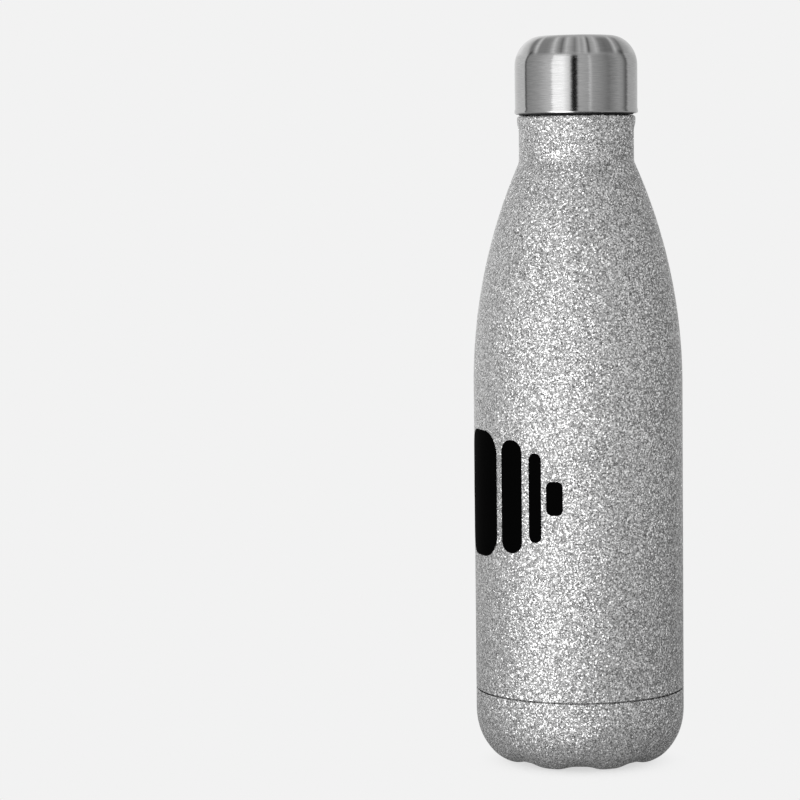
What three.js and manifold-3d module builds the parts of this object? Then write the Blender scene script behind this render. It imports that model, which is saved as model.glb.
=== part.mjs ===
// A 0.5 litre double-walled vacuum bottle with a steel-capped screw lid.
// Two thin steel shells are welded together at the mouth, and the space between them is empty of air.
// The lid is a drawn steel cup over a plastic liner and a threaded, foam-filled stopper.
// Millimetres, +Z up the bottle's axis, origin at the centre of the base, where the petal feet stand.

import * as THREE from "three";
import { mergeVertices } from "three/addons/utils/BufferGeometryUtils.js";
import Module from "manifold-3d";

const wasm = await Module();
wasm.setup();

// ---------- driving dimensions ----------

const ROUND_STEPS = 32; // facets around every turned piece
const SHEET = 0.4; // wall of the drawn steel shells
const GAP = 0.3; // clearance between pieces that touch on the real bottle

const BODY_R = 36.5; // outer radius of the straight body
const BODY_TOP_Z = 132; // where the straight body turns into the shoulder
const SHOULDER_ARC_R = 190.5; // one long arc from body to neck
const NECK_R = 20; // outer radius of the neck
const LIP_Z = 225.4; // top of the mouth
const SEAM_Z = 25.3; // welded seam between shell and base cup

const FLASK_R = 32; // outer radius of the inner flask
const FLASK_TOP_Z = 128; // where the flask's own shoulder starts
const FLASK_ARC_R = 194.8;
const SEAT_R = 15.7; // outer radius of the smooth seat below the thread
const SEAT_TOP_Z = 211;
const MOUTH_R = 16.5; // inner radius of the threaded mouth

const THREAD_LEAD = 8; // rise for each full turn
const THREAD_STARTS = 2;
const THREAD_PITCH = THREAD_LEAD / THREAD_STARTS;
const THREAD_RIDGE_R = 1; // the ridges are round in section
const THREAD_STEPS = 16; // facets in one turn of ridge
const MOUTH_THREAD = { r: 16.3, z: 214.2, turns: 0.9, runOut: 0.7 };
const PLUG_THREAD = { r: 14.95, z: 214.2 - THREAD_PITCH / 2, turns: 1.3, runOut: -1.05 };

const PETALS = 8;
const PETAL_STEPS = 6; // facets across one petal
const PETAL_RISE = 1.2; // how far the valleys between the feet are raised
const PETAL_FLAT = 0.5; // cosine, counted in petals, at which a valley starts beside a flat foot
const FOOT_R = 24; // outer radius of the ring of feet
const FOOT_WIDTH = 4.5;
const BASE_CORNER_H = 18; // height of the rounded corner below the body
const RECESS_R = 14.8; // recess in the middle of the base
const RECESS_Z = 2.9; // underside of the recess
const DIMPLE_Z = 4.3; // underside of the dimple that takes the seal
const VENT_R = 1; // hole the air is drawn out through

const LID_R = 21.3;
const LID_Z = 226.2; // lower edge of the lid cover
const LID_CORNER_Z = 242.7; // where the lid's crown starts to curve
const LID_CORNER = [9.5, 10.4]; // radial and vertical size of that curve
const STOPPER_BORE_R = 12.5;

// ---------- drawing helpers ----------

// Points of an elliptical arc in the (radius, height) plane, angles in degrees from the outward radius.
function arc([r, z], [a, b], from, to, steps) {
  return Array.from({ length: steps + 1 }, (_, i) => {
    const t = THREE.MathUtils.degToRad(from + ((to - from) * i) / steps);
    return [r + a * Math.cos(t), z + b * Math.sin(t)];
  });
}

// Points of the long shoulder arc whose centre is at height z0, between two heights.
function shoulder(r0, z0, arcR, zFrom, zTo, steps) {
  return Array.from({ length: steps + 1 }, (_, i) => {
    const z = zFrom + ((zTo - zFrom) * i) / steps;
    return [r0 - arcR + Math.sqrt(arcR ** 2 - (z - z0) ** 2), z];
  });
}

// Height at which that arc has come in to a radius.
function shoulderHeight(r0, z0, arcR, r) {
  return z0 + Math.sqrt(arcR ** 2 - (r - r0 + arcR) ** 2);
}

// Turns a closed outline of [radius, height] points, listed counter-clockwise, about the Z axis.
function turned(outline, steps = ROUND_STEPS) {
  const points = [...outline, outline[0]].map(([r, z]) => new THREE.Vector2(r, z));
  return new THREE.LatheGeometry(points, steps).rotateX(Math.PI / 2);
}

// A wall: its outer line runs upwards and its inner line runs back down.
function wall(outer, inner) {
  return turned([...outer, ...inner.slice().reverse()]);
}

function toSolid(geometry) {
  const bare = geometry.clone();
  bare.deleteAttribute("normal");
  bare.deleteAttribute("uv");
  const merged = mergeVertices(bare, 1e-3);
  return new wasm.Manifold(
    new wasm.Mesh({
      numProp: 3,
      vertProperties: merged.attributes.position.array,
      triVerts: new Uint32Array(merged.index.array),
    }),
  );
}

function toGeometry(solid) {
  const mesh = solid.getMesh();
  const geometry = new THREE.BufferGeometry();
  geometry.setAttribute("position", new THREE.BufferAttribute(mesh.vertProperties, 3));
  geometry.setIndex(new THREE.BufferAttribute(mesh.triVerts, 1));
  return geometry;
}

// A right-handed ridge line that runs out into its wall at both ends.
class RidgeLine extends THREE.Curve {
  constructor(thread, startAngle) {
    super();
    this.thread = thread;
    this.startAngle = startAngle;
  }
  getPoint(t, target = new THREE.Vector3()) {
    const { r, z, turns, runOut } = this.thread;
    const angle = this.startAngle + t * turns * 2 * Math.PI;
    const nearEnd = Math.max(0, 1 - 10 * Math.min(t, 1 - t));
    const radius = r + runOut * nearEnd ** 2;
    const height = z + t * turns * THREAD_LEAD;
    return target.set(radius * Math.cos(angle), radius * Math.sin(angle), height);
  }
}

// Joins every start of a thread to the solid that carries it.
function threaded(solid, thread) {
  const section = new THREE.Shape();
  section.absarc(0, 0, THREAD_RIDGE_R, 0, 2 * Math.PI);
  const steps = Math.round(THREAD_STEPS * thread.turns);
  return Array.from({ length: THREAD_STARTS }, (_, i) => {
    const extrudePath = new RidgeLine(thread, (i * 2 * Math.PI) / THREAD_STARTS);
    return new THREE.ExtrudeGeometry(section, { steps, extrudePath, curveSegments: 3 });
  }).reduce((whole, ridge) => whole.add(toSolid(ridge)), solid);
}

// ---------- materials ----------

function finish(color, roughness, metalness) {
  return new THREE.MeshStandardMaterial({ color, roughness, metalness });
}

const glitterCoat = finish(0xb4b4b4, 0.55, 0.5);
const brushedSteel = finish(0xa8a8a6, 0.28, 1);
const bareSteel = finish(0xb9babb, 0.35, 1);
const blackRubber = finish(0x0c0c0c, 0.6, 0);
const blackPlastic = finish(0x161617, 0.5, 0);
const greyPlastic = finish(0xc9c9c6, 0.6, 0);
const whiteFoam = finish(0xf1f1ec, 0.9, 0);
const copper = finish(0xb8734a, 0.3, 1);
const getterMetal = finish(0x4a4a4e, 0.7, 0.6);
const solderGlass = finish(0x2b3d38, 0.2, 0);

// ---------- outer body ----------

function outerShell() {
  const neckZ = shoulderHeight(BODY_R, BODY_TOP_Z, SHOULDER_ARC_R, NECK_R);
  const flangeR = 18.7;
  const outer = [
    [BODY_R, SEAM_Z + GAP / 2],
    ...shoulder(BODY_R, BODY_TOP_Z, SHOULDER_ARC_R, BODY_TOP_Z, neckZ - 1, 8),
    [NECK_R, neckZ + 0.8],
    [NECK_R + 0.05, 222.4],
    ...arc([NECK_R + 0.1, LIP_Z - 1.4], [0.5, 1.4], -60, 90, 4),
    [flangeR, LIP_Z],
  ];
  const innerR = BODY_R - SHEET;
  const innerArcR = SHOULDER_ARC_R - SHEET;
  const innerNeckZ = shoulderHeight(innerR, BODY_TOP_Z, innerArcR, NECK_R - SHEET);
  const inner = [
    [innerR, SEAM_Z + GAP / 2],
    ...shoulder(innerR, BODY_TOP_Z, innerArcR, BODY_TOP_Z, innerNeckZ, 6),
    [NECK_R - SHEET, LIP_Z - SHEET],
    [flangeR, LIP_Z - SHEET],
  ];
  return wall(outer, inner);
}

// Height added to a point of the base cup, so that valleys part the petal feet.
function petalLift(radius, angle) {
  const beside = Math.cos(PETALS * angle); // 1 in a valley, -1 on a foot
  const valley = THREE.MathUtils.smoothstep(beside, -PETAL_FLAT, 1);
  const outwards = THREE.MathUtils.smoothstep(BODY_R - radius, 0.2, BODY_R - 29);
  const inwards = THREE.MathUtils.smoothstep(radius, RECESS_R + 0.4, FOOT_R - FOOT_WIDTH);
  return PETAL_RISE * valley * outwards * inwards;
}

function baseCup() {
  const cornerR = BODY_R - FOOT_R;
  const footInnerR = FOOT_R - FOOT_WIDTH;
  const under = [
    [VENT_R, DIMPLE_Z],
    [4.2, DIMPLE_Z],
    [5.4, RECESS_Z],
    [RECESS_R, RECESS_Z],
    [RECESS_R + 0.3, 1.7],
    [footInnerR, 0],
    [FOOT_R, 0],
    ...arc([FOOT_R, BASE_CORNER_H], [cornerR, BASE_CORNER_H], -75, 0, 6),
    [BODY_R, SEAM_Z - GAP / 2],
  ];
  const above = [
    [BODY_R - SHEET, SEAM_Z - GAP / 2],
    ...arc([FOOT_R, BASE_CORNER_H], [cornerR - SHEET, BASE_CORNER_H - SHEET], 0, -75, 4),
    [FOOT_R, SHEET],
    [footInnerR + 0.2, SHEET],
    [RECESS_R + 0.7, 2],
    [RECESS_R + 0.3, RECESS_Z + SHEET],
    [5.7, RECESS_Z + SHEET],
    [4.5, DIMPLE_Z + SHEET],
    [VENT_R, DIMPLE_Z + SHEET],
  ];
  const geometry = turned([...under, ...above], PETALS * PETAL_STEPS);
  const position = geometry.getAttribute("position");
  for (let i = 0; i < position.count; i++) {
    const [x, y] = [position.getX(i), position.getY(i)];
    position.setZ(i, position.getZ(i) + petalLift(Math.hypot(x, y), Math.atan2(y, x)));
  }
  return geometry;
}

function baseDisc() {
  const [low, high] = [RECESS_Z - 0.8, RECESS_Z - GAP];
  return turned([[0, low], [13.6, low], [14.3, low + 0.2], [14.3, high], [0, high]]);
}

// A drop of glass solder that closes the hole the air is drawn out through.
function sealBead() {
  const top = DIMPLE_Z - GAP;
  const stem = VENT_R - GAP;
  return turned([[0, 3], [2.2, 3], [3.3, 3.4], [3.4, top], [stem, top], [stem, 5.6], [0, 5.8]], 24);
}

// ---------- inner flask and what hangs on it ----------

function innerFlask() {
  const line = (offset) => {
    const r = FLASK_R - offset;
    const arcR = FLASK_ARC_R - offset;
    const seatR = SEAT_R - offset;
    const top = shoulderHeight(r, FLASK_TOP_Z, arcR, seatR);
    return [
      [r, 14.3],
      ...shoulder(r, FLASK_TOP_Z, arcR, FLASK_TOP_Z, top, 6),
      [seatR, SEAT_TOP_Z],
      [MOUTH_R + SHEET - offset, SEAT_TOP_Z + 1.3],
    ];
  };
  const flangeR = 18.4;
  const outer = [...line(0), [MOUTH_R + SHEET, LIP_Z - SHEET], [flangeR, LIP_Z - SHEET]];
  const inner = [...line(SHEET), ...arc([MOUTH_R + 0.8, LIP_Z - 0.8], [0.8, 0.8], 180, 90, 3)];
  return toGeometry(threaded(toSolid(wall([...outer, [flangeR, LIP_Z]], inner)), MOUTH_THREAD));
}

function innerBase() {
  const cornerR = 6;
  const corner = [FLASK_R - cornerR, 14];
  const under = [
    [0, 9.5],
    [16, 8.6],
    ...arc(corner, [cornerR, cornerR], -90, 0, 5),
  ];
  const above = [
    ...arc(corner, [cornerR - SHEET, cornerR - SHEET], 0, -90, 4),
    [16, 8.6 + SHEET],
    [0, 9.5 + SHEET],
  ];
  return turned([...under, ...above]);
}

function copperFoil() {
  const inner = FLASK_R + GAP;
  const outer = inner + 0.1;
  return turned([[inner, 20], [outer, 20], [outer, 126], [inner, 126]]);
}

function getterPill() {
  return turned([[0, 6.2], [3.7, 6.2], [4, 6.5], [4, 7.6], [3.7, 7.9], [0, 7.9]], 24);
}

// A spot-welded strap that carries the pill under the flask's floor.
function getterClip() {
  const strap = new THREE.Shape();
  const half = 5.6;
  const [low, high, thick] = [5.5, 8, 0.35];
  strap.moveTo(-half - 2.4, high - thick);
  strap.lineTo(-half, high - thick);
  strap.lineTo(-half, low);
  strap.lineTo(half, low);
  strap.lineTo(half, high - thick);
  strap.lineTo(half + 2.4, high - thick);
  strap.lineTo(half + 2.4, high);
  strap.lineTo(half - thick, high);
  strap.lineTo(half - thick, low + thick);
  strap.lineTo(-half + thick, low + thick);
  strap.lineTo(-half + thick, high);
  strap.lineTo(-half - 2.4, high);
  strap.closePath();
  const width = 4;
  return new THREE.ExtrudeGeometry(strap, { depth: width, bevelEnabled: false })
    .translate(0, 0, -width / 2)
    .rotateX(Math.PI / 2);
}

// ---------- lid ----------

function lidCover() {
  const crown = [LID_R - LID_CORNER[0], LID_CORNER_Z];
  const outer = [
    [LID_R - 0.1, LID_Z],
    [LID_R + 0.15, LID_Z + 0.35],
    [LID_R + 0.15, LID_Z + 0.95],
    [LID_R - 0.05, LID_Z + 2],
    [LID_R, 236],
    ...arc(crown, LID_CORNER, 0, 80, 7),
    [crown[0] - 1.5, 253.1],
    [0, 253.2],
  ];
  const inside = LID_CORNER.map((size) => size - SHEET);
  const inner = [
    [LID_R - SHEET, LID_Z],
    ...arc(crown, inside, 0, 80, 5),
    [crown[0] - 1.5, 253.1 - SHEET],
    [0, 253.2 - SHEET],
  ];
  return wall(outer, inner);
}

function lidLiner() {
  const outerR = LID_R - SHEET - GAP;
  const shell = [
    [19, 228.9],
    [outerR, 228.9],
    [outerR, 241.5],
    [19.2, 247],
    [16.4, 250.2],
    [12, 251.9],
    [0, 252.1],
  ];
  const socket = [
    [0, 250.5],
    [14.7, 250],
    [14.7, 229],
    [16.2, 229],
    [16.2, 248.6],
    [17.6, 246.6],
    [19, 241],
  ];
  const body = toSolid(turned([...shell, ...socket]));
  const ribs = Array.from({ length: PETALS }, (_, i) =>
    toSolid(
      new THREE.BoxGeometry(3.4, 1.2, 14)
        .translate(17.6, 0, 237)
        .rotateZ((i * 2 * Math.PI) / PETALS),
    ),
  );
  return toGeometry(ribs.reduce((whole, rib) => whole.add(rib), body));
}

// The threaded tube that fills the mouth, with the flange that presses the gasket down.
function stopper() {
  const rootR = 14.8;
  const collarR = MOUTH_R - 0.4;
  const outline = [
    [STOPPER_BORE_R, 206],
    [13.2, 206],
    [13.2, 210.4],
    [14, 210.8],
    [rootR, 212],
    [rootR, 223.6],
    [collarR, 224.4],
    [collarR, 227],
    [20.4, 227],
    [20.4, 228.6],
    [14.4, 228.6],
    [14.4, 237],
    [STOPPER_BORE_R, 237],
  ];
  return toGeometry(threaded(toSolid(turned(outline)), PLUG_THREAD));
}

function stopperEndCap() {
  return turned([
    [0, 203],
    [13.3, 203],
    [14.3, 203.8],
    [14.3, 205.7],
    [STOPPER_BORE_R - GAP, 205.7],
    [STOPPER_BORE_R - GAP, 212],
    [0, 212],
  ]);
}

function foamInsert() {
  const r = STOPPER_BORE_R - GAP;
  return turned([[0, 212.4], [r, 212.4], [r, 249], [r - 1, 249.9], [0, 249.9]]);
}

// Wiping ring with two soft lips, held between the stopper and its end cap.
function plugSeal() {
  return turned([
    [13.5, 206.1],
    [14.5, 206.1],
    [14.9, 206.8],
    [14.5, 207.5],
    [14.5, 208.2],
    [14.9, 208.9],
    [14.5, 209.6],
    [13.5, 209.9],
  ]);
}

function mouthGasket() {
  return turned([
    [MOUTH_R, LIP_Z + GAP],
    [19.6, LIP_Z + GAP],
    [19.9, LIP_Z + 0.5],
    [19.9, 226.5],
    [19.6, 226.7],
    [MOUTH_R, 226.7],
  ]);
}

// ---------- assembly ----------

function piece(name, geometry, material, place = [0, 0, 0]) {
  const mesh = new THREE.Mesh(geometry, material);
  mesh.name = name;
  mesh.position.set(...place);
  return mesh;
}

const getterPlace = [12, 0, 0];
const bottle = new THREE.Group();
bottle.add(
  piece("outer_shell", outerShell(), glitterCoat),
  piece("base_cup", baseCup(), glitterCoat),
  piece("base_disc", baseDisc(), bareSteel),
  piece("vacuum_seal_bead", sealBead(), solderGlass),
  piece("inner_flask", innerFlask(), bareSteel),
  piece("inner_base", innerBase(), bareSteel),
  piece("copper_foil", copperFoil(), copper),
  piece("getter_pill", getterPill(), getterMetal, getterPlace),
  piece("getter_clip", getterClip(), bareSteel, getterPlace),
);

const lid = new THREE.Group();
lid.add(
  piece("lid_cover", lidCover(), brushedSteel),
  piece("lid_liner", lidLiner(), greyPlastic),
  piece("stopper", stopper(), blackPlastic),
  piece("stopper_end_cap", stopperEndCap(), blackPlastic),
  piece("foam_insert", foamInsert(), whiteFoam),
  piece("plug_seal", plugSeal(), blackRubber),
  piece("mouth_gasket", mouthGasket(), blackRubber),
);

const whole = new THREE.Group();
whole.add(bottle, lid);

export default whole;
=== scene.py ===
"""Looks of a half-litre vacuum bottle with a silver glitter coat and a brushed steel screw lid.

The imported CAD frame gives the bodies, the joints and the overall sizes. Finer turned, pressed and
moulded pieces stand in for the faceted solids, each with a procedural finish of its own.
Outlines are written in millimetres as (radius, height) and become metres when a mesh is made.
"""

import logging
import math
from dataclasses import dataclass
from enum import Enum
from typing import Sequence

import bmesh
import bpy
from mathutils import Matrix, Vector

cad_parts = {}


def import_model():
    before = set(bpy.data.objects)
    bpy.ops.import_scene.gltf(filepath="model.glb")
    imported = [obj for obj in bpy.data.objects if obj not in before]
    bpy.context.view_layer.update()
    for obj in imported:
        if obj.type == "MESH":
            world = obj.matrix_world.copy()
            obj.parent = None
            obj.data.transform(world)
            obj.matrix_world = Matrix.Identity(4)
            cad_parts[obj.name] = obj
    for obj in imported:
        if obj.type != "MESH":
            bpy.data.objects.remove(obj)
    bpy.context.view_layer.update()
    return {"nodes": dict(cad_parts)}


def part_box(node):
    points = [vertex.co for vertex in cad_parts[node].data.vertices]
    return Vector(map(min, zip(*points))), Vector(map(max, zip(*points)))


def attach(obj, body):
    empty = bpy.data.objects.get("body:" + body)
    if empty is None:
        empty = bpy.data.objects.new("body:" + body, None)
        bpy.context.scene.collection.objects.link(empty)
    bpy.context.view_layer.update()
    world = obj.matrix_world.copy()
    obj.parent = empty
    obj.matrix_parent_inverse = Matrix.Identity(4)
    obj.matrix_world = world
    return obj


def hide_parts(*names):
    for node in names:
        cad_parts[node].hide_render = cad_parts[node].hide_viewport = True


MM = 0.001
FULL_TURN = 2 * math.pi
SHARP_ANGLE = math.radians(40)

# Outer radius of the inner flask's flange, which the outer shell's flange meets. Millimetres.
FLASK_FLANGE_R = 18.4

# Sheen painted into the lid's crown: streaks of reflection painted into the steel's colour, as
# degrees sideways from straight ahead, and times plain steel.
CROWN_PAINTED_SHEEN = (
    (-90, 1.3), (-72, 1.4), (-60, 1.05), (-55, 0.95), (-50, 0.4), (-46.5, 0.55), (-42, 1.4),
    (-38, 0.6), (-30, 0.6), (-26.5, 0.75), (-22, 1.5), (-18, 0.85), (-14, 0.42), (-9, 1.4),
    (-4, 0.85), (-1, 0.55), (3.5, 1.15), (6, 0.9), (9.5, 1.3), (12.5, 0.28), (15, 0.85),
    (20, 1.25), (25, 0.55), (30, 0.4), (37, 0.45), (41.5, 1.25), (45, 0.75), (50, 0.38),
    (55, 0.85), (60, 0.95), (72, 1.35), (90, 1.3),
)

Point = tuple[float, float]
Outline = list[Point]
Color = tuple[float, float, float]
Four = tuple[float, float, float, float]
Piece = bpy.types.Object
Mesh = bmesh.types.BMesh
Socket = bpy.types.NodeSocket

log = logging.getLogger("bottle")


class Body(Enum):
    """Rigid bodies of the frame that pieces ride on."""

    BOTTLE = "bottle"
    GASKET = "gasket"
    LID = "lid"


class Slot(Enum):
    """Material slots of the record, one for each finish of the new pieces."""

    GLITTER = "glitter_coat"
    BRUSHED = "brushed_steel_cap"
    STEEL = "bare_steel"
    SILICONE = "black_silicone"
    BLACK_PLASTIC = "black_plastic"
    GREY_PLASTIC = "grey_plastic"
    PRINT = "black_print"


# Outlines


def arc(centre: Point, radii: Point, start: float, end: float, steps: int) -> Outline:
    """Draws part of an upright ellipse.

    Args:
        centre: Centre of the ellipse, in millimetres.
        radii: Its radial and vertical half sizes.
        start: First angle in degrees, counted from the outward radius.
        end: Last angle in degrees.
        steps: Number of straight stretches.

    Returns:
        The points of the arc, ends included.
    """
    (x, z), (wide, high) = centre, radii
    angles = [math.radians(start + (end - start) * i / steps) for i in range(steps + 1)]
    return [(x + wide * math.cos(a), z + high * math.sin(a)) for a in angles]


def rounded(points: Sequence[Point], reach: float, steps: int = 4) -> Outline:
    """Rounds the inner corners of an open outline.

    Args:
        points: The corners, in order; the first and the last stay as they are.
        reach: How far from a corner its round begins, in millimetres.
        steps: Stretches in each round.

    Returns:
        The outline with a short curve in place of each corner.
    """
    result = [points[0]]
    for before, corner, after in zip(points, points[1:], points[2:]):
        here, back, ahead = Vector(corner), Vector(before), Vector(after)
        cut_back = min(reach, 0.45 * (back - here).length)
        cut_ahead = min(reach, 0.45 * (ahead - here).length)
        start = here + (back - here).normalized() * cut_back
        end = here + (ahead - here).normalized() * cut_ahead
        for i in range(steps + 1):
            t = i / steps
            bend = start * (1 - t) ** 2 + here * 2 * t * (1 - t) + end * t**2
            result.append((bend.x, bend.y))
    result.append(points[-1])
    return result


def smoothstep(value: float, low: float, high: float) -> float:
    """Rises smoothly from 0 at low to 1 at high."""
    t = min(1.0, max(0.0, (value - low) / (high - low)))
    return t * t * (3 - 2 * t)


@dataclass(frozen=True)
class Shoulder:
    """One long arc that leaves a straight wall and draws in to a neck, in millimetres."""

    wall_r: float
    start_z: float
    arc_r: float

    def radius(self, z: float) -> float:
        """Radius of the arc at a height."""
        return self.wall_r - self.arc_r + math.sqrt(self.arc_r**2 - (z - self.start_z) ** 2)

    def height(self, r: float) -> float:
        """Height at which the arc has drawn in to a radius."""
        return self.start_z + math.sqrt(self.arc_r**2 - (r - self.wall_r + self.arc_r) ** 2)

    def line(self, to_z: float, steps: int) -> Outline:
        """Draws the arc from the top of the straight wall.

        Args:
            to_z: Height of the last point.
            steps: Number of straight stretches.

        Returns:
            Points from the lowest to the highest.
        """
        heights = [self.start_z + (to_z - self.start_z) * i / steps for i in range(steps + 1)]
        return [(self.radius(z), z) for z in heights]

    def inset(self, wall: float) -> "Shoulder":
        """The same arc on the inner side of a wall of the given thickness."""
        return Shoulder(self.wall_r - wall, self.start_z, self.arc_r - wall)


# Meshes


def span(node: str) -> tuple[Vector, Vector]:
    """Lowest and highest corner of a CAD node at rest, in millimetres."""
    low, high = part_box(node)
    return low / MM, high / MM


def finish_mesh(name: str, bm: Mesh) -> Piece:
    """Closes, orients and shades a mesh, and puts it in the scene.

    Args:
        name: Name of the piece.
        bm: Its geometry in metres; it is freed here.

    Returns:
        The new object, at the origin.
    """
    bmesh.ops.remove_doubles(bm, verts=bm.verts, dist=1e-7)
    bmesh.ops.dissolve_degenerate(bm, edges=bm.edges, dist=1e-8)
    bmesh.ops.recalc_face_normals(bm, faces=bm.faces)
    for face in bm.faces:
        face.smooth = True
    for edge in bm.edges:
        edge.smooth = not edge.is_manifold or edge.calc_face_angle() < SHARP_ANGLE
    mesh = bpy.data.meshes.new(name)
    bm.to_mesh(mesh)
    bm.free()
    piece = bpy.data.objects.new(name, mesh)
    bpy.context.scene.collection.objects.link(piece)
    return piece


def absorb(bm: Mesh, part: Mesh) -> None:
    """Adds a part's geometry to a mesh.

    Args:
        bm: Mesh that receives it.
        part: The part; it is freed here.
    """
    mesh = bpy.data.meshes.new("part")
    part.to_mesh(mesh)
    part.free()
    bm.from_mesh(mesh)
    bpy.data.meshes.remove(mesh)


def spin_outline(bm: Mesh, outline: Outline, steps: int) -> None:
    """Turns a closed outline once around the Z axis.

    Args:
        bm: Mesh that receives the surface, in metres.
        outline: Points in millimetres; the last joins the first.
        steps: Facets around the axis.
    """
    verts = [bm.verts.new((r * MM, 0, z * MM)) for r, z in outline]
    edges = [bm.edges.new(pair) for pair in zip(verts, verts[1:] + verts[:1])]
    bmesh.ops.spin(bm, geom=verts + edges, cent=(0, 0, 0), axis=(0, 0, 1), angle=FULL_TURN,
                   steps=steps, use_merge=True)


def turned(name: str, outline: Outline, steps: int = 128) -> Piece:
    """Makes a turned piece.

    Args:
        name: Name of the piece.
        outline: Closed outline in millimetres.
        steps: Facets around the axis.

    Returns:
        The piece.
    """
    bm = bmesh.new()
    spin_outline(bm, outline, steps)
    return finish_mesh(name, bm)


def wall(outer: Outline, inner: Outline) -> Outline:
    """Joins an outer and an inner line, both running upwards, into one closed outline."""
    return outer + inner[::-1]


@dataclass(frozen=True)
class Thread:
    """A right-handed thread of round ridges, in millimetres."""

    centre_r: float
    start_z: float
    turns: float
    run_out: float
    lead: float = 8.0
    starts: int = 2
    ridge_r: float = 1.0
    steps_a_turn: int = 96
    sides: int = 14
    end_share: float = 0.1

    def cut(self, bm: Mesh) -> None:
        """Adds every ridge of the thread to a mesh.

        Args:
            bm: Mesh that receives the ridges, in metres.
        """
        for start in range(self.starts):
            ridge = bmesh.new()
            self._ridge(ridge, FULL_TURN * start / self.starts)
            absorb(bm, ridge)

    def _ridge(self, bm: Mesh, start_angle: float) -> None:
        """Sweeps one ridge and lets both of its ends run out into the wall.

        Args:
            bm: Empty mesh for the ridge.
            start_angle: Where the ridge begins, in radians around the axis.
        """
        upright = Matrix.Rotation(math.pi / 2, 3, "X")
        section = bmesh.ops.create_circle(bm, cap_ends=True, radius=self.ridge_r * MM,
                                          segments=self.sides)
        ring = section["verts"]
        bmesh.ops.rotate(bm, verts=ring, cent=(0, 0, 0), matrix=upright)
        bmesh.ops.translate(bm, verts=ring, vec=(self.centre_r * MM, 0, self.start_z * MM))
        steps = round(self.steps_a_turn * self.turns)
        rise = self.lead * self.turns / steps * MM
        bmesh.ops.spin(
            bm, geom=bm.verts[:] + bm.edges[:] + bm.faces[:], cent=(0, 0, 0), dvec=(0, 0, rise),
            axis=(0, 0, 1), angle=FULL_TURN * self.turns, steps=steps, use_merge=False,
        )
        for vert in bm.verts:
            along = (vert.co.z / MM - self.start_z) / (self.lead * self.turns)
            near_end = max(0.0, 1 - min(along, 1 - along) / self.end_share)
            flat = Vector((vert.co.x, vert.co.y, 0)).normalized()
            vert.co += flat * self.run_out * min(1.0, near_end) ** 2 * MM
        turn = Matrix.Rotation(start_angle, 3, "Z")
        bmesh.ops.rotate(bm, verts=bm.verts, cent=(0, 0, 0), matrix=turn)
        bmesh.ops.recalc_face_normals(bm, faces=bm.faces)


def place(
    piece: Piece, body: Body, slot: Slot, material: bpy.types.Material, *nodes: str
) -> Piece:
    """Gives a finished piece its finish, its body and the CAD nodes it stands for.

    Args:
        piece: The new piece.
        body: Body it moves with.
        slot: Record slot of its finish; not used.
        material: Its material.
        *nodes: CAD nodes that it replaces.

    Returns:
        The piece.
    """
    piece.data.materials.append(material)
    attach(piece, body.value)
    if nodes:
        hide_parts(*nodes)
    log.info("%s on %s, %d faces", piece.name, body.value, len(piece.data.polygons))
    return piece


# Finishes


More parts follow.
